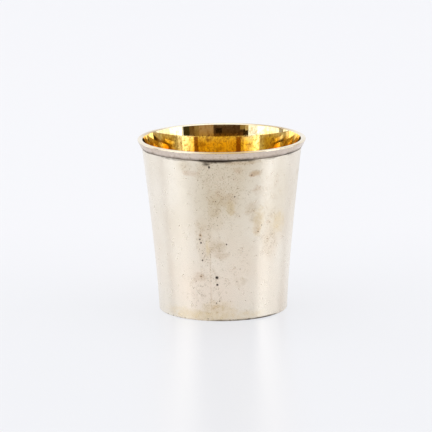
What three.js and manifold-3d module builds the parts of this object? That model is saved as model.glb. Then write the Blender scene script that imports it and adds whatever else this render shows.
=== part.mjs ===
// Small silver beaker, gilt inside. The wall is one sheet rolled into a flared tube and soldered
// along a butt seam, the base is a flat disc let into its foot, and a moulded band is soldered
// round the outside of the lip. Millimetres, +Z up, origin at the middle of the resting face.
import * as THREE from 'three';
import { mergeVertices } from 'three/addons/utils/BufferGeometryUtils.js';
import Module from 'manifold-3d';

// Driving dimensions of the wall
const CUP_HEIGHT = 70;
const FOOT_RADIUS = 26.05;
const LIP_RADIUS = 32.65;
const FLARE = 1.28;
const WALL_THICKNESS = 0.7;
const FOOT_ROUNDING = 0.4;

// Butt seam of the rolled sheet, seen from above and counted from the front, clockwise to the left
const SEAM_WIDTH = 0.6;
const SEAM_ANGLE = THREE.MathUtils.degToRad(10.5);

// Base disc and the solder run inside its corner
const BASE_THICKNESS = 1;
const BASE_FILLET = 0.9;

// Rim band, its ledge over the wall and the solder run below it
const BAND_HEIGHT = 3.25;
const BAND_LEDGE = 0.32;
const BAND_OVERHANG = 1.42;
const BAND_BULGE = 0.1;
const RIM_FILLET_HEIGHT = 0.6;
const RIM_FILLET_DEPTH = 0.26;

// Rounded lip, thinned on the inside towards the mouth, and the gilding
const LIP_CROWN = 0.5;
const LIP_THINNING = 0.22;
const LIP_THINNING_HEIGHT = 7;
const GILT_THICKNESS = 0.12;

// Smoothness of the revolved surfaces
const SEGMENTS = 72;
const WALL_STEPS = 6;
const FILLET_STEPS = 3;
const BAND_STEPS = 3;
const LIP_STEPS = 3;

// Levels and radii that the pieces share
const filletTop = BASE_THICKNESS + BASE_FILLET;
const shoulder = CUP_HEIGHT - LIP_CROWN;
const bandBottom = CUP_HEIGHT - BAND_HEIGHT;
const rimFilletBottom = bandBottom - RIM_FILLET_HEIGHT;
const thinningBottom = CUP_HEIGHT - LIP_THINNING_HEIGHT;
const outer = (z) => FOOT_RADIUS + (LIP_RADIUS - FOOT_RADIUS) * (z / CUP_HEIGHT) ** FLARE;
const thinning = (z) => LIP_THINNING * Math.max(0, (z - thinningBottom) / LIP_THINNING_HEIGHT) ** 2;
const inner = (z) => outer(z) - WALL_THICKNESS + thinning(z);
const bandRadius = outer(shoulder) + BAND_OVERHANG;
const lipMiddle = (bandRadius + inner(shoulder) - GILT_THICKNESS) / 2;
const lipHalfWidth = bandRadius - lipMiddle;

const point = (radius, z) => new THREE.Vector2(radius, z);

// Points along a surface of the wall, ends included
function alongWall(surface, from, to, steps) {
  const points = [];
  for (let i = 0; i <= steps; i++) {
    const z = from + (to - from) * i / steps;
    points.push(point(surface(z), z));
  }
  return points;
}

// Points along an elliptical arc, ends included
function arc(radius, z, halfWidth, halfHeight, from, to, steps) {
  const points = [];
  for (let i = 0; i <= steps; i++) {
    const angle = from + (to - from) * i / steps;
    points.push(point(radius + halfWidth * Math.cos(angle), z + halfHeight * Math.sin(angle)));
  }
  return points;
}

// Profiles shared by two pieces
const innerFace = [
  ...alongWall(inner, filletTop, thinningBottom, WALL_STEPS),
  ...alongWall(inner, thinningBottom, shoulder, LIP_STEPS).slice(1),
];
const baseFilletFace = (depth) =>
  arc(inner(filletTop) - BASE_FILLET, filletTop, depth, depth, -Math.PI / 2, 0, FILLET_STEPS);
const lipSplit = Math.acos((outer(shoulder) - lipMiddle) / (lipHalfWidth - GILT_THICKNESS));
const lipArc = (depth, from, to, steps) =>
  arc(lipMiddle, shoulder, lipHalfWidth - depth, LIP_CROWN - depth, from, to, steps);
const wallLip = lipArc(GILT_THICKNESS, Math.PI, lipSplit, LIP_STEPS);
const bandLip = lipArc(GILT_THICKNESS, lipSplit, 0, LIP_STEPS);

// Solid of revolution about +Z. A ring's outline is closed here, one that meets the axis is not.
function revolve(outline) {
  const points = outline.map((p) => p.clone());
  const last = points[points.length - 1];
  if (points[0].x > 0 || last.x > 0) points.push(points[0].clone());
  const geometry = new THREE.LatheGeometry(points, SEGMENTS);
  geometry.rotateX(Math.PI / 2);
  return geometry;
}

const wasm = await Module();
wasm.setup();

function toSolid(geometry) {
  const bare = geometry.clone();
  bare.deleteAttribute('normal');
  bare.deleteAttribute('uv');
  const merged = mergeVertices(bare, 1e-5);
  const vertProperties = new Float32Array(merged.attributes.position.array);
  const triVerts = new Uint32Array(merged.index.array);
  return new wasm.Manifold(new wasm.Mesh({ numProp: 3, vertProperties, triVerts }));
}

function toGeometry(solid) {
  const mesh = solid.getMesh();
  const geometry = new THREE.BufferGeometry();
  geometry.setAttribute('position', new THREE.BufferAttribute(mesh.vertProperties, mesh.numProp));
  geometry.setIndex(new THREE.BufferAttribute(mesh.triVerts, 1));
  geometry.computeVertexNormals();
  return geometry;
}

// Rolled sheet and its seam as one flared tube, with a rounded foot and lip
function wallTube() {
  const foot = arc(
    outer(FOOT_ROUNDING) - FOOT_ROUNDING, FOOT_ROUNDING, FOOT_ROUNDING, FOOT_ROUNDING,
    -Math.PI / 2, 0, FILLET_STEPS,
  );
  const outside = alongWall(outer, FOOT_ROUNDING, rimFilletBottom, WALL_STEPS).slice(1);
  const underBand = [point(outer(bandBottom), bandBottom), point(outer(shoulder), shoulder)];
  const lip = [...wallLip].reverse();
  const inside = [...innerFace].reverse().slice(1);
  const seat = [point(inner(BASE_THICKNESS), BASE_THICKNESS), point(inner(0), 0)];
  return revolve([...foot, ...outside, ...underBand, ...lip, ...inside, ...seat]);
}

// Upright slab through the front of the tube: what lies inside it is the seam
function seamSlab() {
  const slab = new THREE.BoxGeometry(SEAM_WIDTH, FOOT_RADIUS, 2 * CUP_HEIGHT);
  slab.translate(0, -LIP_RADIUS, CUP_HEIGHT / 2);
  slab.rotateZ(-SEAM_ANGLE);
  return slab;
}

function baseDisc() {
  return revolve([
    point(0, 0),
    point(inner(0), 0),
    point(inner(BASE_THICKNESS), BASE_THICKNESS),
    point(0, BASE_THICKNESS),
  ]);
}

function baseSolder() {
  const corner = point(inner(BASE_THICKNESS), BASE_THICKNESS);
  return revolve([corner, ...baseFilletFace(BASE_FILLET).reverse()]);
}

// Moulding that leans outwards from a narrow ledge to the lip
function rimBand() {
  const ledge = point(outer(bandBottom) + BAND_LEDGE, bandBottom);
  const top = point(bandRadius, shoulder);
  const face = [];
  for (let i = 0; i <= BAND_STEPS; i++) {
    const share = i / BAND_STEPS;
    const bulge = BAND_BULGE * Math.sin(Math.PI * share);
    face.push(point(THREE.MathUtils.lerp(ledge.x, top.x, share) + bulge,
      THREE.MathUtils.lerp(ledge.y, top.y, share)));
  }
  const lip = [...bandLip].reverse();
  const back = [point(outer(shoulder), shoulder), point(outer(bandBottom), bandBottom)];
  return revolve([...face, ...lip, ...back]);
}

// Solder that leaves the wall smoothly and ends under the ledge
function rimSolder() {
  const face = [];
  for (let i = 0; i <= FILLET_STEPS; i++) {
    const angle = Math.PI / 2 * i / FILLET_STEPS;
    const z = rimFilletBottom + RIM_FILLET_HEIGHT * Math.sin(angle);
    face.push(point(outer(z) + RIM_FILLET_DEPTH * (1 - Math.cos(angle)), z));
  }
  return revolve([...face, point(outer(bandBottom), bandBottom)]);
}

function floorGilding() {
  const under = baseFilletFace(BASE_FILLET);
  const over = baseFilletFace(BASE_FILLET - GILT_THICKNESS).reverse();
  const middle = BASE_THICKNESS + GILT_THICKNESS;
  return revolve([point(0, BASE_THICKNESS), ...under, ...over, point(0, middle)]);
}

function wallGilding() {
  const face = innerFace.map((p) => point(p.x - GILT_THICKNESS, p.y));
  return revolve([...innerFace, ...face.reverse()]);
}

function lipGilding() {
  const under = [...wallLip, ...bandLip.slice(1)];
  const over = lipArc(0, 0, Math.PI, 2 * LIP_STEPS);
  return revolve([...under, ...over]);
}

const silver = new THREE.MeshStandardMaterial({ color: 0xd8d0c4, roughness: 0.28, metalness: 1 });
const solder = new THREE.MeshStandardMaterial({ color: 0x5c5348, roughness: 0.5, metalness: 1 });
const gold = new THREE.MeshStandardMaterial({ color: 0xd9a441, roughness: 0.15, metalness: 1 });

const tube = toSolid(wallTube());
const slab = toSolid(seamSlab());

const cup = new THREE.Group();
function addPiece(name, geometry, material) {
  const mesh = new THREE.Mesh(geometry, material);
  mesh.name = name;
  cup.add(mesh);
}

addPiece('body_wall', toGeometry(tube.subtract(slab)), silver);
addPiece('side_seam', toGeometry(tube.intersect(slab)), silver);
addPiece('base_disc', baseDisc(), silver);
addPiece('base_solder', baseSolder(), solder);
addPiece('rim_band', rimBand(), silver);
addPiece('rim_solder', rimSolder(), solder);
addPiece('wall_gilding', wallGilding(), gold);
addPiece('floor_gilding', floorGilding(), gold);
addPiece('lip_gilding', lipGilding(), gold);

export default cup;
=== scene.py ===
import math

import bmesh
import bpy
from mathutils import Matrix, Vector, noise
from mathutils.kdtree import KDTree


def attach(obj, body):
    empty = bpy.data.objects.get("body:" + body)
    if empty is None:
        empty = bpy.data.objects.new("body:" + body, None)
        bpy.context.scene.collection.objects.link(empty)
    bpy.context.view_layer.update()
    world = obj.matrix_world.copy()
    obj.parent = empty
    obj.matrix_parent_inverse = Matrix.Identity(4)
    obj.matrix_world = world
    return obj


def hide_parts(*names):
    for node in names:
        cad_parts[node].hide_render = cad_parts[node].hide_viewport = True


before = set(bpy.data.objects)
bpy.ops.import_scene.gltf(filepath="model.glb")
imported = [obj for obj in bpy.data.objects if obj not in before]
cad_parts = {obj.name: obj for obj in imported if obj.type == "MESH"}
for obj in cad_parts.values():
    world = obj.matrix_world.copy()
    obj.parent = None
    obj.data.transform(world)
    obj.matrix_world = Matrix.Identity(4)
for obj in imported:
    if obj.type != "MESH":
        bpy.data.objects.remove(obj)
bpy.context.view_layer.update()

# Body wall: one sheet of silver, cut as a fan, rolled into a flared tube and closed by a butt seam.
# It is planished by hand, so the sheet is faintly wavy, and worn, pitted and stained by long use.
# Angles round the cup are counted from the front, positive towards the right.
MM = 0.001
CUP_HEIGHT = 70 * MM
FOOT_RADIUS = 26.05 * MM
LIP_RADIUS = 32.65 * MM
FLARE = 1.28
WALL_THICKNESS = 0.7 * MM
FOOT_ROUNDING = 0.4 * MM
LIP_CROWN = 0.5 * MM
LIP_THINNING = 0.22 * MM
LIP_THINNING_HEIGHT = 7 * MM
BAND_OVERHANG = 1.42 * MM
GILT_THICKNESS = 0.12 * MM
SEAM_ANGLE = math.radians(-10.5)
SEAM_HALF_TURN = math.radians(0.6)
SHOULDER = CUP_HEIGHT - LIP_CROWN
WALL_STEPS = 120
WALL_TURN_STEPS = 320
WAVE_HEIGHT = 0.03 * MM
WAVE_SCALE = 75.0
FOOT_STEPS = 6
LIP_STEPS = 10
INSIDE_STEPS = 20
SKIN_SHARE = 0.2
MERGE_DISTANCE = 0.001 * MM
CORNER_ANGLE = math.radians(40)

# Pits: angle in degrees, height and width in millimetres
PITS = [
    (-5.3, 18.2, 1.05), (-5.0, 15.2, 0.75), (-9.4, 63.8, 0.85), (-18.5, 33.9, 0.6),
    (-17.7, 32.5, 0.65), (-17.0, 25.2, 0.6), (-16.6, 28.0, 0.45), (-18.9, 18.5, 0.5),
    (-5.9, 7.6, 0.5), (-3.3, 8.4, 0.45), (2.9, 32.0, 0.55), (9.2, 51.6, 0.5), (21.8, 60.1, 0.5),
    (32.1, 38.9, 0.45), (29.1, 36.4, 0.5), (14.2, 21.5, 0.4), (11.6, 16.3, 0.4), (-13.7, 0.9, 0.45),
    (-4.1, 43.1, 0.35), (-4.2, 40.0, 0.35), (-9.6, 60.6, 0.35), (-5.3, 49.7, 0.35),
    (-26.3, 13.3, 0.4), (-25.2, 13.6, 0.3), (-22.9, 12.2, 0.34), (-21.9, 11.7, 0.36),
    (-20.8, 11.3, 0.34), (-19.6, 11.0, 0.3), (-18.5, 10.8, 0.34), (-17.1, 10.5, 0.3),
    (-15.9, 10.3, 0.32), (-18.0, 35.6, 0.5), (118.0, 24.0, 0.7), (131.0, 47.0, 0.5),
    (164.0, 33.0, 0.6), (171.0, 12.0, 0.5), (-152.0, 41.0, 0.6), (-96.0, 19.0, 0.5),
    (-84.0, 52.0, 0.4), (87.0, 29.0, 0.5), (-121.0, 8.0, 0.6), (146.0, 60.0, 0.5),
]

# A pit's depth as a share of its width, how round its bowl is, and how many radii out its bowl,
# its darkness and its finer mesh reach
PIT_DEPTH = 0.16
PIT_ROUNDNESS = 1.5
PIT_BOWL = 1.25
PIT_DARKNESS = 1.6
PIT_MESH = 1.8
PIT_MESH_MARGIN = 0.5 * MM
PIT_CUTS = 3
FULL_PIT_RADIUS = 0.35 * MM

# Brown stains, and one painted shade under the rim joint: angle in degrees, height, half width, half
# height in millimetres, and strength
STAINS_AND_SHADE = [
    (-3.0, 50.6, 4.0, 3.7, 0.65), (2.6, 50.4, 3.4, 3.2, 0.6), (6.0, 46.8, 1.6, 2.9, 0.7),
    (-6.2, 45.2, 2.4, 2.5, 0.65), (24.6, 60.8, 2.6, 1.2, 1.0), (22.6, 60.0, 1.7, 0.6, 1.2),
    (26.9, 53.5, 2.3, 2.5, 0.45), (-23.5, 61.0, 3.8, 1.4, 0.55), (-4.3, 30.7, 3.2, 3.3, 0.65),
    (-1.2, 27.3, 3.6, 1.7, 0.6), (-20.3, 18.2, 3.0, 2.1, 0.6), (-18.9, 18.5, 1.1, 0.9, 0.9),
    # The long mark at 14.8 degrees and 65.4 mm, just under the rim joint, is painted shade.
    (-18.0, 35.6, 0.8, 0.8, 0.9), (-4.2, 5.6, 5.7, 2.5, 0.35), (14.8, 65.4, 8.0, 0.9, 0.7),
    (11.6, 62.4, 2.4, 1.6, 0.5), (21.0, 45.5, 2.1, 2.5, 0.45), (14.9, 16.2, 3.3, 2.5, 0.4),
    (18.2, 21.5, 4.2, 6.0, 0.2), (38.0, 52.0, 9.0, 13.0, 0.24), (23.0, 46.5, 3.0, 2.6, 0.5),
    (24.5, 42.5, 2.2, 2.4, 0.5), (28.5, 41.0, 2.0, 4.2, 0.5), (27.7, 37.3, 1.6, 2.2, 0.6),
    (-17.5, 38.0, 2.2, 4.5, 0.35), (104.0, 30.0, 3.4, 4.6, 0.55), (112.0, 35.0, 1.8, 2.4, 0.6),
    (141.0, 52.0, 3.6, 2.2, 0.6), (170.0, 22.0, 4.4, 2.6, 0.5), (177.0, 26.0, 2.0, 1.4, 0.6),
    (-160.0, 46.0, 3.0, 4.8, 0.55), (-150.0, 61.0, 3.2, 1.4, 0.5), (-128.0, 15.0, 3.8, 2.2, 0.5),
    (-95.0, 40.0, 2.4, 4.4, 0.5), (-106.0, 9.0, 3.2, 2.0, 0.5), (76.0, 57.0, 2.6, 1.6, 0.5),
]

# Yellowish stains, broad warm patina, which in front also paints shade beside the highlights, and black
# grime with painted shade under the rim joint, given in the same way
OCHRE = [
    (29.0, 41.4, 2.3, 4.6, 0.6), (27.7, 37.3, 1.8, 2.5, 0.6), (50.1, 39.0, 4.0, 4.2, 0.55),
    (-12.2, 30.6, 0.8, 3.2, 0.6), (6.0, 46.8, 1.6, 2.9, 0.6), (-15.0, 2.1, 12.3, 2.1, 0.8),
    (-4.0, 4.5, 6.5, 3.2, 0.65), (-41.2, 2.9, 8.2, 2.1, 0.35), (20.0, 2.0, 7.0, 1.8, 0.5),
    (112.0, 12.0, 5.0, 4.0, 0.6), (155.0, 38.0, 4.0, 6.0, 0.7), (-140.0, 30.0, 5.0, 5.0, 0.6),
    (-104.0, 56.0, 4.0, 3.0, 0.6),
]
# In front, some patina marks also darken the silver beside the highlights as painted shade.
PATINA_AND_SHADE = [
    (0.5, 62.0, 14.3, 22.0, 1.0), (-6.0, 41.5, 5.0, 5.5, 0.78), (2.0, 30.0, 17.0, 20.0, 0.5),
    (-14.0, 12.0, 11.0, 16.0, 0.7), (-38.0, 26.0, 8.0, 18.0, 0.3), (-26.5, 64.0, 4.2, 3.0, 0.9),
    (-14.0, 33.0, 4.5, 13.0, 0.85), (50.0, 54.0, 6.0, 18.0, 0.4), (46.0, 38.0, 8.0, 9.0, 0.7),
    (42.0, 33.0, 5.0, 8.0, 0.85), (104.0, 48.0, 17.0, 26.0, 0.8), (163.0, 40.0, 20.0, 30.0, 0.7),
    (-142.0, 52.0, 18.0, 24.0, 0.8), (-84.0, 30.0, 14.0, 22.0, 0.3),
]
# Under the rim joint the grime is also painted shade of the band's ledge.
GRIME_AND_SHADE = [
    (-4.0, 66.1, 7.0, 0.6, 0.8), (-11.6, 65.1, 1.5, 0.7, 0.65), (16.0, 66.1, 5.0, 0.5, 0.5),
    (57.0, 66.2, 3.0, 0.4, 0.4), (-36.0, 66.1, 8.0, 0.5, 0.4), (37.0, 66.1, 4.0, 0.4, 0.35),
    (150.0, 66.1, 9.0, 0.7, 0.6), (-120.0, 66.1, 6.0, 0.6, 0.5),
]

# Grime and a painted contact shadow round the edge of the foot: angle and half width in degrees, and
# strength
FOOT_GRIME_AND_SHADOW = [(34.0, 22.0, 0.65), (4.0, 18.0, 0.5), (130.0, 40.0, 0.7), (-130.0, 25.0, 0.5)]
PLAIN_FOOT_GRIME_AND_SHADOW = 0.15
STAIN_FADE = 1.5

# Colours of the silver, clean and with patina, and of what has settled on it. The patina colour also
# paints shade beside the highlights and is darker towards the top, and the soot colour also paints shade
# under the rim joint, on the band's lower edge and round the foot
CLEAN_SILVER = (0.92, 0.86, 0.755)
LOWER_PATINA_AND_SHADE = (0.93, 0.80, 0.67)
UPPER_PATINA_AND_SHADE = (0.745, 0.655, 0.51)
PATINA_HEIGHTS = (12 * MM, 48 * MM)
TARNISH = (0.72, 0.60, 0.45)
FRECKLE = (0.36, 0.28, 0.19)
YELLOWED = (0.84, 0.69, 0.44)
RED_BROWN = (0.62, 0.43, 0.29)
YELLOW_BROWN = (0.58, 0.45, 0.28)
STAIN_DOT = (0.22, 0.15, 0.09)
SOOT_AND_SHADE = (0.09, 0.065, 0.045)
PIT_BLACK = (0.02, 0.015, 0.012)


def wall_radius(z):
    return FOOT_RADIUS + (LIP_RADIUS - FOOT_RADIUS) * (max(z, 0.0) / CUP_HEIGHT) ** FLARE


def inner_radius(z):
    share = max(0.0, z - CUP_HEIGHT + LIP_THINNING_HEIGHT) / LIP_THINNING_HEIGHT
    return wall_radius(z) - WALL_THICKNESS + LIP_THINNING * share ** 2


BAND_RADIUS = wall_radius(SHOULDER) + BAND_OVERHANG
LIP_MIDDLE = (BAND_RADIUS + inner_radius(SHOULDER) - GILT_THICKNESS) / 2
LIP_HALF_WIDTH = BAND_RADIUS - LIP_MIDDLE
LIP_SPLIT = math.acos((wall_radius(SHOULDER) - LIP_MIDDLE) / (LIP_HALF_WIDTH - GILT_THICKNESS))


def spread(first, last, steps):
    return [first + (last - first) * i / steps for i in range(steps + 1)]


def arc(radius, z, half_width, half_height, first, last, steps):
    return [
        (radius + half_width * math.cos(a), z + half_height * math.sin(a))
        for a in spread(first, last, steps)
    ]


def lip_arc(depth, first, last, steps):
    return arc(LIP_MIDDLE, SHOULDER, LIP_HALF_WIDTH - depth, LIP_CROWN - depth, first, last, steps)


def on_cup(angle, radius, z):
    return Vector((radius * math.sin(angle), -radius * math.cos(angle), z))


def spin_outline(outline, steps, start=0.0, turn=math.tau):
    """Turns a closed outline of radius and height about the cup's axis, and caps an open turn."""
    bm = bmesh.new()
    verts = [bm.verts.new(on_cup(start, radius, z)) for radius, z in outline]
    edges = [bm.edges.new((verts[i - 1], verts[i])) for i in range(len(verts))]
    whole = turn >= math.tau
    bmesh.ops.spin(
        bm, geom=verts + edges, axis=(0, 0, 1), cent=(0, 0, 0), angle=turn, steps=steps, use_merge=whole
    )
    bmesh.ops.remove_doubles(bm, verts=bm.verts[:], dist=MERGE_DISTANCE)
    if not whole:
        bmesh.ops.holes_fill(bm, edges=[e for e in bm.edges if e.is_boundary], sides=0)
    bmesh.ops.recalc_face_normals(bm, faces=bm.faces[:])
    return bm


def finish_piece(bm, name, material, node):
    """Rounds the shading except at true corners, hangs the piece under the root and hides its node's
    part.
    """
    for face in bm.faces:
        face.smooth = True
    for edge in bm.edges:
        edge.smooth = len(edge.link_faces) == 2 and edge.calc_face_angle(0.0) < CORNER_ANGLE
    mesh = bpy.data.meshes.new(name)
    bm.to_mesh(mesh)
    bm.free()
    mesh.materials.append(material)
    piece = bpy.data.objects.new(name, mesh)
    bpy.context.scene.collection.objects.link(piece)
    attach(piece, "root")
    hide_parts(node)


def sheet_outline():
    foot_ring = wall_radius(FOOT_ROUNDING) - FOOT_ROUNDING
    foot = arc(foot_ring, FOOT_ROUNDING, FOOT_ROUNDING, FOOT_ROUNDING, -math.pi / 2, 0, FOOT_STEPS)
    outside = [(wall_radius(z), z) for z in spread(FOOT_ROUNDING, SHOULDER, WALL_STEPS)]
    lip = lip_arc(GILT_THICKNESS, LIP_SPLIT, math.pi, LIP_STEPS)
    inside = [(inner_radius(z), z) for z in spread(SHOULDER, 0.0, INSIDE_STEPS)]
    return foot + outside[1:] + lip + inside[1:]


def is_outside(co):
    return math.hypot(co.x, co.y) > wall_radius(co.z) - SKIN_SHARE * WALL_THICKNESS


def outwards(co):
    return Vector((co.x, co.y, 0)).normalized()


def near(bm):
    """Gives a search for the vertices of a mesh within a distance of a place."""
    verts = list(bm.verts)
    places = KDTree(len(verts))
    for i, v in enumerate(verts):
        places.insert(v.co, i)
    places.balance()
    return lambda place, reach: [verts[i] for _, i, _ in places.find_range(place, reach)]


def ripple(bm):
    """Leaves the faint waves of the planishing hammer on the outside of the sheet."""
    for v in bm.verts:
        if is_outside(v.co) and FOOT_ROUNDING < v.co.z < SHOULDER:
            v.co += outwards(v.co) * WAVE_HEIGHT * noise.noise(v.co * WAVE_SCALE)


def sink_pits(bm):
    """Refines the mesh round each pit, sinks it, and keeps its darkness on the mesh."""
    places = []
    for degrees, height, width in PITS:
        z = height * MM
        places.append((on_cup(math.radians(degrees), wall_radius(z), z), width * MM / 2))
    close = near(bm)
    edges = set()
    for place, radius in places:
        for v in close(place, PIT_MESH * radius + PIT_MESH_MARGIN):
            if is_outside(v.co):
                edges.update(v.link_edges)
    bmesh.ops.subdivide_edges(bm, edges=list(edges), cuts=PIT_CUTS, use_grid_fill=True)
    pit = bm.verts.layers.float.new("pit")
    close = near(bm)
    for place, radius in places:
        for v in close(place, PIT_DARKNESS * radius):
            if is_outside(v.co):
                share = (v.co - place).length / radius
                depth = max(0.0, 1 - (share / PIT_BOWL) ** 2) ** PIT_ROUNDNESS
                darkness = min(1.0, radius / FULL_PIT_RADIUS)
                v[pit] = max(v[pit], darkness * min(1.0, max(0.0, PIT_DARKNESS - share)))
                v.co -= outwards(v.co) * depth * PIT_DEPTH * radius * 2


def lay_marks(bm, name, marks):
    """Keeps the soft outline and the strength of each mark on the mesh."""
    layer = bm.verts.layers.float.get(name) or bm.verts.layers.float.new(name)
    close = near(bm)
    for degrees, height, half_width, half_height, strength in marks:
        z = height * MM
        middle = on_cup(math.radians(degrees), wall_radius(z), z)
        for v in close(middle, STAIN_FADE * max(half_width, half_height) * MM):
            turn = math.remainder(math.atan2(v.co.x, -v.co.y) - math.radians(degrees), math.tau)
            across = turn * wall_radius(z) / (half_width * MM)
            along = (v.co.z - z) / (half_height * MM)
            share = min(1.0, max(0.0, STAIN_FADE - math.hypot(across, along)))
            v[layer] = max(v[layer], strength * share)


def lay_round(bm, name, runs, plain, chosen):
    """Keeps a mark that runs round the cup on the chosen vertices."""
    layer = bm.verts.layers.float.get(name) or bm.verts.layers.float.new(name)
    for v in bm.verts:
        if chosen(v.co):
            value = plain
            for degrees, half_turn, strength in runs:
                turn = math.remainder(math.atan2(v.co.x, -v.co.y) - math.radians(degrees), math.tau)
                share = min(1.0, max(0.0, STAIN_FADE - abs(math.degrees(turn)) / half_turn))
                value = max(value, strength * share)
            v[layer] = max(v[layer], value)


def is_foot_edge(co):
    outermost = wall_radius(FOOT_ROUNDING) - 1.5 * FOOT_ROUNDING
    return co.z <= FOOT_ROUNDING and math.hypot(co.x, co.y) > outermost


def lay_wear_and_shade(bm):
    lay_marks(bm, "stain_and_shade", STAINS_AND_SHADE)
    lay_marks(bm, "ochre", OCHRE)
    lay_marks(bm, "patina_and_shade", PATINA_AND_SHADE)
    lay_marks(bm, "grime_and_shade", GRIME_AND_SHADE)
    lay_round(bm, "grime_and_shade", FOOT_GRIME_AND_SHADOW, PLAIN_FOOT_GRIME_AND_SHADOW, is_foot_edge)


def add_node(tree, kind, settings=None, **inputs):
    """Adds a shader node. An input is a value or another node's output socket."""
    made = tree.nodes.new(kind)
    for name, value in (settings or {}).items():
        setattr(made, name, value)
    for name, value in inputs.items():
        socket = made.inputs[name.replace("_", " ")]
        if isinstance(value, bpy.types.NodeSocket):
            tree.links.new(value, socket)
        else:
            socket.default_value = value
    return made


def grain(tree, place, scale, detail=4.0, roughness=0.55, swirl=0.0):
    made = add_node(
        tree, "ShaderNodeTexNoise", Scale=scale, Detail=detail, Roughness=roughness, Distortion=swirl
    )
    tree.links.new(place, made.inputs["Vector"])
    return made.outputs["Fac"]


def between(tree, value, low, high, to_low=0.0, to_high=1.0):
    made = add_node(tree, "ShaderNodeMapRange", {"clamp": True})
    tree.links.new(value, made.inputs["Value"])
    made.inputs["From Min"].default_value = low
    made.inputs["From Max"].default_value = high
    made.inputs["To Min"].default_value = to_low
    made.inputs["To Max"].default_value = to_high
    return made.outputs["Result"]


def tint(tree, share, under, over):
    made = tree.nodes.new("ShaderNodeMix")
    made.data_type = "RGBA"
    sockets = [s for s in made.inputs if s.type == "RGBA"]
    tree.links.new(share, made.inputs["Factor"])
    for socket, colour in zip(sockets, (under, over)):
        if isinstance(colour, bpy.types.NodeSocket):
            tree.links.new(colour, socket)
        else:
            socket.default_value = (*colour, 1.0)
    return next(s for s in made.outputs if s.type == "RGBA")


def calculate(tree, operation, first, second):
    made = tree.nodes.new("ShaderNodeMath")
    made.operation = operation
    made.use_clamp = True
    for socket, value in zip(made.inputs, (first, second)):
        if isinstance(value, bpy.types.NodeSocket):
            tree.links.new(value, socket)
        else:
            socket.default_value = value
    return made.outputs["Value"]


def mesh_value(tree, name):
    return add_node(tree, "ShaderNodeAttribute", {"attribute_name": name}).outputs["Fac"]


def stretched(tree, place, x, y, z):
    return add_node(tree, "ShaderNodeMapping", Vector=place, Scale=(x, y, z)).outputs["Vector"]


def height_of(tree, place):
    return add_node(tree, "ShaderNodeSeparateXYZ", Vector=place).outputs["Z"]


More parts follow.
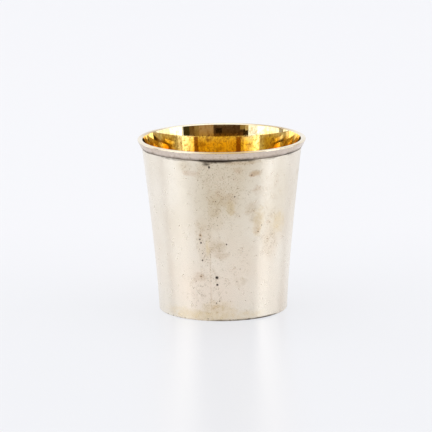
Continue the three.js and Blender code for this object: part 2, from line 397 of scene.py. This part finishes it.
def worn_silver(name, clean, lower_patina_and_shade, upper_patina_and_shade):
    """Old silver that is wiped more often than polished: warm patina, scratches, stains and pits, with
    painted shade carried by the patina, stain and grime marks.
    """
    material = bpy.data.materials.new(name)
    material.use_nodes = True
    tree = material.node_tree
    shader = tree.nodes["Principled BSDF"]
    shader.inputs["Metallic"].default_value = 1.0
    place = tree.nodes.new("ShaderNodeTexCoord").outputs["Object"]
    cloud = grain(tree, place, scale=45.0, detail=3.0)
    mottle = grain(tree, place, scale=420.0, detail=9.0, roughness=0.7, swirl=0.5)
    speck = grain(tree, place, scale=1900.0, detail=2.0, roughness=0.6)
    aged_and_shaded = mesh_value(tree, "patina_and_shade")
    patina_and_shade = calculate(tree, "ADD", aged_and_shaded, between(tree, cloud, 0.3, 0.7, -0.2, 0.3))
    upper = between(tree, height_of(tree, place), *PATINA_HEIGHTS)
    colour = tint(tree, patina_and_shade, clean, tint(tree, upper, lower_patina_and_shade, upper_patina_and_shade))
    tarnish_and_shade = calculate(tree, "ADD", mottle, between(tree, aged_and_shaded, 0, 1, -0.19, 0.09))
    colour = tint(tree, between(tree, tarnish_and_shade, 0.5, 0.68, 0.0, 0.42), colour, TARNISH)
    freckle = between(tree, speck, 0.56, 0.7)
    freckle_share = calculate(tree, "MULTIPLY", freckle, between(tree, tarnish_and_shade, 0.46, 0.56, 0.0, 0.85))
    colour = tint(tree, freckle_share, colour, FRECKLE)
    ochre = mesh_value(tree, "ochre")
    yellowed = calculate(tree, "ADD", ochre, between(tree, mottle, 0.3, 0.7, -0.45, 0.45))
    yellowed = calculate(tree, "MULTIPLY", yellowed, between(tree, ochre, 0.0, 0.3, 0.0, 0.75))
    colour = tint(tree, yellowed, colour, YELLOWED)
    stain_and_shade = mesh_value(tree, "stain_and_shade")
    ragged = calculate(tree, "ADD", stain_and_shade, between(tree, mottle, 0.3, 0.7, -0.2, 0.2))
    stained_and_shaded = calculate(
        tree, "MULTIPLY", between(tree, ragged, 0.2, 1.0, 0.0, 0.8), between(tree, stain_and_shade, 0.0, 0.1)
    )
    stain_and_shade_colour = tint(tree, between(tree, cloud, 0.42, 0.58), RED_BROWN, YELLOW_BROWN)
    colour = tint(tree, stained_and_shaded, colour, stain_and_shade_colour)
    dotted = calculate(tree, "MULTIPLY", freckle, between(tree, stained_and_shaded, 0.1, 0.5, 0.0, 0.5))
    colour = tint(tree, dotted, colour, STAIN_DOT)
    grime_and_shade = mesh_value(tree, "grime_and_shade")
    sooty_and_shaded = calculate(tree, "ADD", grime_and_shade, between(tree, mottle, 0.3, 0.7, -0.2, 0.15))
    sooty_and_shaded = calculate(tree, "MULTIPLY", between(tree, sooty_and_shaded, 0.1, 0.7), between(tree, grime_and_shade, 0.0, 0.15))
    colour = tint(tree, sooty_and_shaded, colour, SOOT_AND_SHADE)
    pit = mesh_value(tree, "pit")
    colour = tint(tree, pit, colour, PIT_BLACK)
    tree.links.new(colour, shader.inputs["Base Color"])
    dirt_and_shade = calculate(tree, "MAXIMUM", pit, sooty_and_shaded)
    dull = calculate(
        tree, "ADD", between(tree, mottle, 0.35, 0.7, 0.2, 0.3), between(tree, dirt_and_shade, 0, 1, 0, 0.4)
    )
    tree.links.new(dull, shader.inputs["Roughness"])
    wiped = stretched(tree, place, 90, 90, 1500)
    scratch = grain(tree, wiped, scale=1.0, detail=5.0, roughness=0.7)
    relief = calculate(
        tree, "ADD", calculate(tree, "MULTIPLY", scratch, 0.4), calculate(tree, "MULTIPLY", mottle, 0.4)
    )
    bump = add_node(tree, "ShaderNodeBump", Strength=0.08, Distance=0.02 * MM, Height=relief)
    tree.links.new(bump.outputs["Normal"], shader.inputs["Normal"])
    return material


silver = worn_silver("worn_silver", CLEAN_SILVER, LOWER_PATINA_AND_SHADE, UPPER_PATINA_AND_SHADE)
sheet = spin_outline(
    sheet_outline(), WALL_TURN_STEPS, SEAM_ANGLE + SEAM_HALF_TURN, math.tau - 2 * SEAM_HALF_TURN
)
ripple(sheet)
sink_pits(sheet)
lay_wear_and_shade(sheet)
finish_piece(sheet, "body_wall_sheet", silver, "body_wall")

# Side seam: the strip of hard solder that closes the rolled sheet, filed flush with it.
# It is of nearly the sheet's own colour, so it shows as a faint upright line at most.
SEAM_STEPS = 3
SEAM_PATINA = 0.3
strip = spin_outline(sheet_outline(), SEAM_STEPS, SEAM_ANGLE - SEAM_HALF_TURN, 2 * SEAM_HALF_TURN)
ripple(strip)
lay_wear_and_shade(strip)
seam_patina = strip.verts.layers.float.get("patina_and_shade")
for v in strip.verts:
    v[seam_patina] = min(1.0, v[seam_patina] + SEAM_PATINA)
finish_piece(strip, "side_seam_strip", silver, "side_seam")

# Base disc: a flat round blank of thicker silver, let into the foot of the wall and soldered.
# Its underside is flush with the foot and scuffed by standing.
BASE_THICKNESS = 1.0 * MM
BASE_TURN_STEPS = 192
BASE_RINGS = 30
BASE_PATINA = 0.7
BASE_JOINT_WIDTH = 1.8 * MM
BASE_JOINT_GRIME = 0.5

# Scuffs and stains of the underside: angle in degrees, distance from the middle, half width
# and half length in millimetres, and strength
SCUFFS = [
    (20.0, 14.0, 4.0, 2.5, 0.5), (75.0, 19.0, 2.6, 4.0, 0.6), (150.0, 9.0, 5.0, 3.2, 0.45),
    (-60.0, 17.0, 3.4, 3.0, 0.55), (-125.0, 12.0, 2.4, 2.0, 0.6), (-165.0, 20.0, 2.0, 3.4, 0.5),
]


def scuff_base(bm):
    """Keeps patina and stains on the blank, and grime along the joint with the wall."""
    patina_and_shade = bm.verts.layers.float.new("patina_and_shade")
    grime_and_shade = bm.verts.layers.float.new("grime_and_shade")
    stain_and_shade = bm.verts.layers.float.new("stain_and_shade")
    for v in bm.verts:
        radius = math.hypot(v.co.x, v.co.y)
        joint = (inner_radius(0.0) - radius) / BASE_JOINT_WIDTH
        v[patina_and_shade] = BASE_PATINA
        v[grime_and_shade] = BASE_JOINT_GRIME * max(0.0, 1 - joint)
        for degrees, distance, half_width, half_length, strength in SCUFFS:
            turn = math.remainder(math.atan2(v.co.x, -v.co.y) - math.radians(degrees), math.tau)
            across = turn * radius / (half_width * MM)
            along = (radius - distance * MM) / (half_length * MM)
            share = min(1.0, max(0.0, STAIN_FADE - math.hypot(across, along)))
            v[stain_and_shade] = max(v[stain_and_shade], strength * share)


underside = [(radius, 0.0) for radius in spread(0.0, inner_radius(0.0), BASE_RINGS)]
blank = spin_outline(
    underside + [(inner_radius(BASE_THICKNESS), BASE_THICKNESS), (0.0, BASE_THICKNESS)],
    BASE_TURN_STEPS,
)
scuff_base(blank)
finish_piece(blank, "base_disc_blank", silver, "base_disc")

# Base solder: the fillet of solder run round the corner inside, between the base and the wall.
# The gilding hides it.
BASE_FILLET = 0.9 * MM
FILLET_TOP = BASE_THICKNESS + BASE_FILLET
FILLET_STEPS = 8
SOLDER_GREY = (0.40, 0.33, 0.26)
SOLDER_BLACK = (0.025, 0.018, 0.013)


def fillet_face(radius):
    middle = inner_radius(FILLET_TOP) - BASE_FILLET
    return arc(middle, FILLET_TOP, radius, radius, 0, -math.pi / 2, FILLET_STEPS)


def tarnished_solder():
    """Solder that was never polished: brownish grey, and nearly black where grime has gathered and where
    shade under the band's ledge is painted.
    """
    material = bpy.data.materials.new("tarnished_solder")
    material.use_nodes = True
    tree = material.node_tree
    shader = tree.nodes["Principled BSDF"]
    shader.inputs["Metallic"].default_value = 0.5
    shader.inputs["Specular IOR Level"].default_value = 0.2
    place = tree.nodes.new("ShaderNodeTexCoord").outputs["Object"]
    cloud = grain(tree, place, scale=160.0, detail=4.0, roughness=0.6)
    speck = grain(tree, place, scale=900.0, detail=4.0)
    grime_and_shade = calculate(tree, "ADD", mesh_value(tree, "grime_and_shade"), between(tree, cloud, 0.3, 0.7, -0.3, 0.3))
    colour = tint(tree, between(tree, grime_and_shade, 0.2, 0.8), SOLDER_GREY, SOLDER_BLACK)
    colour = tint(tree, between(tree, speck, 0.5, 0.8, 0.0, 0.6), colour, PIT_BLACK)
    tree.links.new(colour, shader.inputs["Base Color"])
    tree.links.new(between(tree, speck, 0.3, 0.7, 0.4, 0.65), shader.inputs["Roughness"])
    return material


solder = tarnished_solder()
run = spin_outline(
    [(inner_radius(BASE_THICKNESS), BASE_THICKNESS)] + fillet_face(BASE_FILLET), BASE_TURN_STEPS
)
finish_piece(run, "base_solder_fillet", solder, "base_solder")

# Rim band: a strip of drawn moulding, leaning outwards, bent round the lip and soldered to it.
# Its lower edge stands out as a narrow ledge over the wall.
BAND_HEIGHT = 3.25 * MM
BAND_LEDGE = 0.32 * MM
BAND_BULGE = 0.1 * MM
BAND_BOTTOM = CUP_HEIGHT - BAND_HEIGHT
BAND_PATINA = 0.75
# The band's lower part is darkened as painted shade: how dark at the lower edge, and the share of the
# band's height it climbs.
BAND_PAINTED_SHADE = 0.5
BAND_PAINTED_SHADE_SHARE = 0.4
BAND_STEPS = 12
BAND_BACK_STEPS = 6
RIM_TURN_STEPS = 288
CLEAN_BAND = (0.88, 0.80, 0.72)
TARNISHED_BAND = (0.66, 0.555, 0.475)


def band_outline():
    ledge = wall_radius(BAND_BOTTOM) + BAND_LEDGE
    face = []
    for share in spread(0.0, 1.0, BAND_STEPS):
        radius = ledge + (BAND_RADIUS - ledge) * share + BAND_BULGE * math.sin(math.pi * share)
        face.append((radius, BAND_BOTTOM + (SHOULDER - BAND_BOTTOM) * share))
    lip = lip_arc(GILT_THICKNESS, 0, LIP_SPLIT, LIP_STEPS)
    back = [(wall_radius(z), z) for z in spread(SHOULDER, BAND_BOTTOM, BAND_BACK_STEPS)]
    return face + lip + back


def dull_band(bm):
    """Keeps more patina on the band, and painted shade that darkens its lower part, most at the lower
    edge.
    """
    lay_marks(bm, "patina_and_shade", PATINA_AND_SHADE)
    patina_and_shade = bm.verts.layers.float.get("patina_and_shade")
    grime_and_shade = bm.verts.layers.float.new("grime_and_shade")
    for v in bm.verts:
        share = (v.co.z - BAND_BOTTOM) / BAND_HEIGHT
        v[patina_and_shade] = max(v[patina_and_shade], BAND_PATINA)
        v[grime_and_shade] = BAND_PAINTED_SHADE * max(0.0, 1 - share / BAND_PAINTED_SHADE_SHARE)


band_silver = worn_silver("band_silver", CLEAN_BAND, TARNISHED_BAND, TARNISHED_BAND)
moulding = spin_outline(band_outline(), RIM_TURN_STEPS)
dull_band(moulding)
finish_piece(moulding, "rim_band_moulding", band_silver, "rim_band")

# Rim solder: the fillet of solder under the band's ledge, never polished and nearly black in places from
# grime and painted shade.
# It runs smoothly out of the wall and ends under the ledge.
RIM_FILLET_HEIGHT = 0.6 * MM
RIM_FILLET_DEPTH = 0.26 * MM
RIM_FILLET_BACK_STEPS = 4

# Grime and painted shade in the joint: angle and half width in degrees, and strength
JOINT_GRIME_AND_SHADE = [
    (-4.0, 17.0, 1.0), (17.0, 10.0, 0.75), (57.0, 8.0, 0.95), (-40.0, 16.0, 0.5),
    (150.0, 40.0, 0.8),
]
PLAIN_JOINT_GRIME_AND_SHADE = 0.4


def rim_fillet_outline():
    low = BAND_BOTTOM - RIM_FILLET_HEIGHT
    face = []
    for angle in spread(0.0, math.pi / 2, FILLET_STEPS):
        z = low + RIM_FILLET_HEIGHT * math.sin(angle)
        face.append((wall_radius(z) + RIM_FILLET_DEPTH * (1 - math.cos(angle)), z))
    back = [(wall_radius(z), z) for z in spread(BAND_BOTTOM, low, RIM_FILLET_BACK_STEPS)]
    return face + back[:-1]


joint_run = spin_outline(rim_fillet_outline(), RIM_TURN_STEPS)
lay_round(joint_run, "grime_and_shade", JOINT_GRIME_AND_SHADE, PLAIN_JOINT_GRIME_AND_SHADE, lambda co: True)
finish_piece(joint_run, "rim_solder_fillet", solder, "rim_solder")

# Gilding: gold laid on the inside with mercury and burnished, in three areas that meet:
# the wall, the floor with its fillet, and the lip, where drinking has worn it pale.
GILT_STEPS = 90
BURNISH_HEIGHT = 0.006 * MM
BURNISH_SCALE = (130.0, 130.0, 40.0)

# Places rubbed thin, some also painted pale where highlights fall: angle in degrees, height, half width,
# half height in millimetres, and strength
WORN_AND_HIGHLIGHT_GOLD = [
    (-96.0, 65.0, 15.0, 8.0, 0.75), (96.0, 65.0, 15.0, 8.0, 0.75), (155.0, 63.0, 4.0, 8.0, 0.9),
    (-150.0, 63.0, 4.5, 8.0, 0.9), (-60.0, 22.0, 9.0, 12.0, 0.3),
]

# Tarnished stretches of the lip, the one at the front also painted shade: angle and half width in
# degrees, and strength
LIP_TARNISH_AND_SHADE = [(4.0, 20.0, 0.95), (74.0, 12.0, 0.2), (140.0, 20.0, 0.6), (-112.0, 16.0, 0.5)]
PLAIN_TARNISH = 0.03

# Brown spots in the gold: angle in degrees, height, half width, half height in millimetres, and strength
GOLD_SPOTS = [
    (-170.0, 63.3, 1.3, 0.6, 0.8), (-165.0, 61.5, 1.4, 0.7, 0.7), (-178.0, 59.6, 1.6, 0.7, 0.6),
    (168.0, 60.5, 1.3, 0.8, 0.4), (-120.0, 57.0, 1.5, 1.0, 0.5), (40.0, 58.0, 1.4, 0.9, 0.6),
    (75.0, 62.0, 1.5, 0.7, 0.5), (-35.0, 60.0, 1.3, 0.8, 0.5), (110.0, 54.0, 1.6, 1.0, 0.4),
]

# Colours of the gold, fresh, thin, deep inside, on the floor and on the lip, and of its marks. The thin
# and rubbed colours are also paler as painted highlight, and the deep colour is lightened as painted
# light deep inside
FRESH_GOLD = (0.97, 0.65, 0.07)
THIN_AND_HIGHLIGHT_GOLD = (0.95, 0.78, 0.43)
# The deep gold is lightened as painted light for the deep inside.
LIGHTENED_DEEP_GOLD = (0.98, 0.79, 0.42)
FLOOR_GOLD = (0.95, 0.70, 0.29)
LIP_GOLD = (0.95, 0.84, 0.60)
THIN_LIP_GOLD = (0.97, 0.89, 0.70)
COPPERY_GOLD = (0.86, 0.47, 0.04)
ORANGE_GOLD = (0.66, 0.36, 0.03)
RUBBED_AND_HIGHLIGHT_GOLD = (0.91, 0.83, 0.55)
BROWN_MARK = (0.58, 0.33, 0.06)
DARK_SPECK = (0.34, 0.18, 0.04)
BROWN_SPOT = (0.3, 0.14, 0.03)
LIP_BROWN_AND_SHADE = (0.56, 0.38, 0.16)

# Heights between which the gold turns satin, orange and thin
SATIN_HEIGHTS = (38 * MM, 56 * MM)
ORANGE_HEIGHTS = (58 * MM, 63 * MM)
THIN_HEIGHTS = (64.5 * MM, 68.5 * MM)


def burnish(bm):
    """Leaves the faint upright waves of the burnisher on the gold."""
    for v in bm.verts:
        if math.hypot(v.co.x, v.co.y) < inner_radius(v.co.z) - 0.5 * GILT_THICKNESS:
            waves = noise.noise(v.co * Vector(BURNISH_SCALE))
            v.co += outwards(v.co) * BURNISH_HEIGHT * waves


def burnished_gold(name, fresh, worn_and_highlight, inmost, marks, smoothest, dullest):
    """Thin gold: paler where it is rubbed and where highlights are painted pale, satin deep inside, with
    coppery patches and brown marks.
    """
    material = bpy.data.materials.new(name)
    material.use_nodes = True
    tree = material.node_tree
    shader = tree.nodes["Principled BSDF"]
    shader.inputs["Metallic"].default_value = 1.0
    place = tree.nodes.new("ShaderNodeTexCoord").outputs["Object"]
    cloud = grain(tree, place, scale=90.0, detail=4.0)
    speck = grain(tree, place, scale=900.0, detail=5.0, roughness=0.65)
    drawn_up = stretched(tree, place, 800, 800, 420)
    streak = grain(tree, drawn_up, scale=1.0, detail=4.0, roughness=0.65)
    height = height_of(tree, place)
    deep = between(tree, height, *SATIN_HEIGHTS, 1.0, 0.0)
    patch = grain(tree, place, scale=240.0, detail=3.0, roughness=0.6)
    copper = calculate(tree, "MULTIPLY", between(tree, patch, 0.42, 0.62), 0.5 * marks)
    fresh = tint(tree, copper, fresh, COPPERY_GOLD)
    near_lip = between(tree, height, *THIN_HEIGHTS)
    thin_and_highlit = calculate(tree, "ADD", near_lip, between(tree, cloud, 0.35, 0.7, -0.15, 0.25))
    colour = tint(tree, thin_and_highlit, tint(tree, deep, fresh, inmost), worn_and_highlight)
    below = between(tree, height, *ORANGE_HEIGHTS, 0.5, 0.0)
    ring = calculate(tree, "MINIMUM", below, between(tree, deep, 0.0, 0.3, 0.5, 0.0))
    colour = tint(tree, ring, colour, ORANGE_GOLD)
    colour = tint(tree, mesh_value(tree, "wear_and_highlight"), colour, RUBBED_AND_HIGHLIGHT_GOLD)
    brown = between(tree, deep, 0.0, 1.0, 0.65 * marks, 0.2 * marks)
    brown = calculate(tree, "MULTIPLY", between(tree, streak, 0.48, 0.66), brown)
    colour = tint(tree, brown, colour, BROWN_MARK)
    dark = between(tree, deep, 0.0, 1.0, 0.8 * marks, 0.1 * marks)
    dark = calculate(tree, "MULTIPLY", dark, between(tree, near_lip, 0.3, 0.8, 1.0, 0.15))
    dark = calculate(tree, "MULTIPLY", dark, between(tree, speck, 0.53, 0.63))
    colour = tint(tree, dark, colour, DARK_SPECK)
    colour = tint(tree, mesh_value(tree, "spot"), colour, BROWN_SPOT)
    colour = tint(tree, mesh_value(tree, "tarnish_and_shade"), colour, LIP_BROWN_AND_SHADE)
    tree.links.new(colour, shader.inputs["Base Color"])
    polish = between(tree, speck, 0.35, 0.7, smoothest, dullest)
    polish = calculate(tree, "MULTIPLY", polish, between(tree, near_lip, 0.0, 1.0, 1.0, 0.5))
    satin = calculate(tree, "ADD", polish, between(tree, deep, 0.0, 1.0, 0.0, 0.32))
    tree.links.new(satin, shader.inputs["Roughness"])
    return material


gold = burnished_gold(
    "burnished_gold", FRESH_GOLD, THIN_AND_HIGHLIGHT_GOLD, LIGHTENED_DEEP_GOLD, marks=1.0, smoothest=0.03, dullest=0.09
)
floor_gold = burnished_gold(
    "floor_gold", FRESH_GOLD, THIN_AND_HIGHLIGHT_GOLD, FLOOR_GOLD, marks=1.8, smoothest=0.03, dullest=0.09
)
pale_gold = burnished_gold(
    "worn_gold", LIP_GOLD, THIN_LIP_GOLD, LIP_GOLD, marks=0.15, smoothest=0.1, dullest=0.16
)

under = [(inner_radius(z), z) for z in spread(FILLET_TOP, SHOULDER, GILT_STEPS)]
over = [(radius - GILT_THICKNESS, z) for radius, z in reversed(under)]
coat = spin_outline(under + over, RIM_TURN_STEPS)
burnish(coat)
lay_marks(coat, "wear_and_highlight", WORN_AND_HIGHLIGHT_GOLD)
lay_marks(coat, "spot", GOLD_SPOTS)
finish_piece(coat, "wall_gilding_skin", gold, "wall_gilding")

floor_over = fillet_face(BASE_FILLET - GILT_THICKNESS)
floor_under = list(reversed(fillet_face(BASE_FILLET)))
floor_coat = spin_outline(
    [(0.0, BASE_THICKNESS)] + floor_under + floor_over + [(0.0, BASE_THICKNESS + GILT_THICKNESS)],
    BASE_TURN_STEPS,
)
finish_piece(floor_coat, "floor_gilding_skin", floor_gold, "floor_gilding")

lip_coat = spin_outline(
    lip_arc(GILT_THICKNESS, math.pi, 0, 2 * LIP_STEPS) + lip_arc(0, 0, math.pi, 2 * LIP_STEPS),
    RIM_TURN_STEPS,
)
lay_round(lip_coat, "tarnish_and_shade", LIP_TARNISH_AND_SHADE, PLAIN_TARNISH, lambda co: True)
finish_piece(lip_coat, "lip_gilding_skin", pale_gold, "lip_gilding")

# Table: a broad sheet of glossy white acrylic under the cup, which mirrors it faintly.
# Seen straight or in the metal it keeps a share of plain white, so it stays pale but shaded.
TABLE_RADIUS = 4.0
TABLE_SEGMENTS = 96
ACRYLIC = (0.86, 0.87, 0.90, 1.0)
TABLE_WHITE = (0.94, 0.945, 0.98)
# In front of the cup the plain white is darker, as painted shade on the table, fading to full white
# behind the cup.
SHADED_NEAR_WHITE = (0.89, 0.90, 0.935)
NEAR_DEPTH = 0.15
WHITE_SEEN = 0.65
WHITE_MIRRORED = 0.3


def white_acrylic():
    material = bpy.data.materials.new("white_acrylic")
    material.use_nodes = True
    tree = material.node_tree
    shader = tree.nodes["Principled BSDF"]
    shader.inputs["Base Color"].default_value = ACRYLIC
    shader.inputs["Roughness"].default_value = 0.25
    shader.inputs["Specular IOR Level"].default_value = 0.85
    place = tree.nodes.new("ShaderNodeTexCoord").outputs["Object"]
    depth = add_node(tree, "ShaderNodeSeparateXYZ", Vector=place).outputs["Y"]
    white = tint(tree, between(tree, depth, 0.0, NEAR_DEPTH), SHADED_NEAR_WHITE, TABLE_WHITE)
    plain = add_node(tree, "ShaderNodeEmission", Color=white, Strength=1.0)
    ray = tree.nodes.new("ShaderNodeLightPath")
    seen = calculate(tree, "MULTIPLY", ray.outputs["Is Camera Ray"], WHITE_SEEN)
    mirrored = calculate(tree, "MULTIPLY", ray.outputs["Is Glossy Ray"], WHITE_MIRRORED)
    mix = tree.nodes.new("ShaderNodeMixShader")
    tree.links.new(calculate(tree, "ADD", seen, mirrored), mix.inputs[0])
    tree.links.new(shader.outputs["BSDF"], mix.inputs[1])
    tree.links.new(plain.outputs["Emission"], mix.inputs[2])
    tree.links.new(mix.outputs["Shader"], tree.nodes["Material Output"].inputs["Surface"])
    return material


slab = bmesh.new()
bmesh.ops.create_circle(slab, cap_ends=True, radius=TABLE_RADIUS, segments=TABLE_SEGMENTS)
table_mesh = bpy.data.meshes.new("table")
slab.to_mesh(table_mesh)
slab.free()
table_mesh.materials.append(white_acrylic())
table = bpy.data.objects.new("table", table_mesh)
bpy.context.scene.collection.objects.link(table)

# Studio: a white sweep behind the cup, softboxes at both sides and overhead, and a dim room in front,
# stood up as curved cards. The metal shows all of these, and the camera sees none of them straight.
ROOM = (0.45, 0.44, 0.43)
SIDE_RADIANCE = 2.1
TOP_RADIANCE = 0.96
SOFTBOX_DISTANCE = 1.0
SOFTBOX_LOW = 0.03
SOFTBOX_HIGH = 0.5
TOP_DISTANCE = 1.3
TOP_SIZE = 2.2
CARD_DISTANCE = 1.9
DARK_TOP = 0.4
DARK_MIDDLE = 0.27
CARD_STEPS = 24

# Softboxes at the sides: name, first and last angle in degrees, and share of the full radiance
SIDE_SOFTBOXES = [
    ("softbox_left", -76, -56, 0.85),
    ("softbox_left_back", -95, -76, 0.64),
    ("softbox_right", 62, 84, 0.96),
    ("softbox_right_back", 84, 112, 0.5),
]

# Cards: name, first and last angle in degrees, distance, lower and upper edge in metres, colour and glow
CARDS = [
    ("white_sweep", 136, 252, 1.5, 0.0, 1.3, TABLE_WHITE, 1.0),
    ("low_wing_left", -130, -104, 1.2, 0.0, 0.2, TABLE_WHITE, 1.75),
    ("low_wing_right", 114, 147, 1.2, 0.0, 0.2, TABLE_WHITE, 1.05),
    ("pale_room_left", -56, -41, CARD_DISTANCE, 0.0, 1.0, TABLE_WHITE, 1.35),
    ("pale_room_right", 59, 62, CARD_DISTANCE, 0.0, 1.0, TABLE_WHITE, 0.95),
    ("dim_room_right", 49, 59, CARD_DISTANCE, 0.0, DARK_TOP, (0.05, 0.04, 0.015), 1.0),
    ("brown_room", 41, 49, CARD_DISTANCE, 0.0, DARK_TOP, (0.16, 0.095, 0.035), 1.0),
    ("warm_brown_room", 34, 41, CARD_DISTANCE, 0.0, DARK_TOP, (0.27, 0.19, 0.085), 1.0),
    ("light_brown_room", 12, 34, CARD_DISTANCE, 0.0, DARK_TOP, (0.385, 0.26, 0.155), 1.0),
    ("dark_room_low", -33, 12, CARD_DISTANCE, 0.0, DARK_MIDDLE, (0.13, 0.065, 0.027), 1.0),
    ("dark_room", -33, 12, CARD_DISTANCE, DARK_MIDDLE, DARK_TOP, (0.08, 0.045, 0.025), 1.0),
    ("olive_corner", -36, -28, 1.85, 0.315, DARK_TOP, (0.3, 0.21, 0.08), 1.0),
    ("pale_corner", -41, -36, 1.85, 0.295, DARK_TOP, (0.62, 0.5, 0.28), 1.0),
    ("black_room", -41, -33, CARD_DISTANCE, 0.0, DARK_TOP, (0.04, 0.022, 0.008), 1.0),
    ("brown_gap_left", -113, -95, 1.6, 0.25, 0.95, (0.37, 0.22, 0.12), 1.0),
    ("brown_gap_right", 120, 138, 1.6, 0.25, 0.95, (0.37, 0.22, 0.12), 1.0),
    ("pale_wing_right", 112, 121, 1.2, 0.25, 0.7, TABLE_WHITE, 0.95),
    ("upper_room", -41, 59, CARD_DISTANCE, DARK_TOP, 1.0, (0.62, 0.60, 0.53), 1.0),
    ("bright_wall", -27, 6, 1.85, 0.41, 0.5, TABLE_WHITE, 1.6),
    ("camera_stand", -1, 9, 1.4, 0.222, 0.285, (0.022, 0.011, 0.004), 1.0),
]


def softbox(name, position, target, width, height, radiance):
    light = bpy.data.lights.new(name, "AREA")
    light.shape = "RECTANGLE"
    light.size = width
    light.size_y = height
    light.energy = radiance * math.pi * width * height
    lamp = bpy.data.objects.new(name, light)
    bpy.context.scene.collection.objects.link(lamp)
    turn = (position - target).to_track_quat("Z", "Y")
    lamp.matrix_world = Matrix.Translation(position) @ turn.to_matrix().to_4x4()
    lamp.visible_camera = False


def side_softbox(name, first, last, radiance):
    middle = (SOFTBOX_LOW + SOFTBOX_HIGH) / 2
    place = on_cup(math.radians((first + last) / 2), SOFTBOX_DISTANCE, middle)
    width = 2 * SOFTBOX_DISTANCE * math.tan(math.radians(last - first) / 2)
    softbox(name, place, Vector((0, 0, middle)), width, SOFTBOX_HIGH - SOFTBOX_LOW, radiance)


def standing_card(name, first, last, distance, low, high, colour, glow):
    """Stands a curved card round the cup, from one angle to another."""
    card_bm = bmesh.new()
    ends = [card_bm.verts.new(on_cup(math.radians(first), distance, z)) for z in (low, high)]
    edge = card_bm.edges.new(ends)
    bmesh.ops.spin(
        card_bm, geom=ends + [edge], axis=(0, 0, 1), cent=(0, 0, 0),
        angle=math.radians(last - first), steps=CARD_STEPS,
    )
    mesh = bpy.data.meshes.new(name)
    card_bm.to_mesh(mesh)
    card_bm.free()
    material = bpy.data.materials.new(name)
    material.use_nodes = True
    shader = material.node_tree.nodes["Principled BSDF"]
    shader.inputs["Base Color"].default_value = (0.0, 0.0, 0.0, 1.0)
    shader.inputs["Specular IOR Level"].default_value = 0.0
    shader.inputs["Emission Color"].default_value = (*colour, 1.0)
    shader.inputs["Emission Strength"].default_value = glow
    mesh.materials.append(material)
    card = bpy.data.objects.new(name, mesh)
    bpy.context.scene.collection.objects.link(card)
    card.visible_camera = False
    card.visible_shadow = False


for name, first, last, share in SIDE_SOFTBOXES:
    side_softbox(name, first, last, share * SIDE_RADIANCE)
softbox("softbox_top", Vector((0, 0, TOP_DISTANCE)), Vector((0, 0, 0)), TOP_SIZE, TOP_SIZE, TOP_RADIANCE)
for card in CARDS:
    standing_card(*card)

world = bpy.data.worlds.new("studio")
world.use_nodes = True
bpy.context.scene.world = world
tree = world.node_tree
seen = tree.nodes.new("ShaderNodeLightPath").outputs["Is Camera Ray"]
tree.links.new(tint(tree, seen, ROOM, TABLE_WHITE), tree.nodes["Background"].inputs["Color"])

# Camera: a long lens a little above the rim, held with a slight tilt to one side.
# Its place and lens are those that give the photograph's outline of the cup.
IMAGE_PIXELS = 432
FOCAL_PIXELS = 2896.0
CAMERA_PLACE = Vector((-2.6 * MM, -1.15, 0.28077))
CAMERA_PITCH = math.radians(11.941)
CAMERA_ROLL = math.radians(0.6)

camera_data = bpy.data.cameras.new("camera")
camera_data.sensor_width = 36.0
camera_data.lens = FOCAL_PIXELS / IMAGE_PIXELS * camera_data.sensor_width
camera = bpy.data.objects.new("camera", camera_data)
bpy.context.scene.collection.objects.link(camera)
camera.matrix_world = (
    Matrix.Translation(CAMERA_PLACE)
    @ Matrix.Rotation(math.pi / 2 - CAMERA_PITCH, 4, "X")
    @ Matrix.Rotation(-CAMERA_ROLL, 4, "Z")
)
bpy.context.scene.camera = camera
bpy.context.scene.view_settings.view_transform = "Standard"
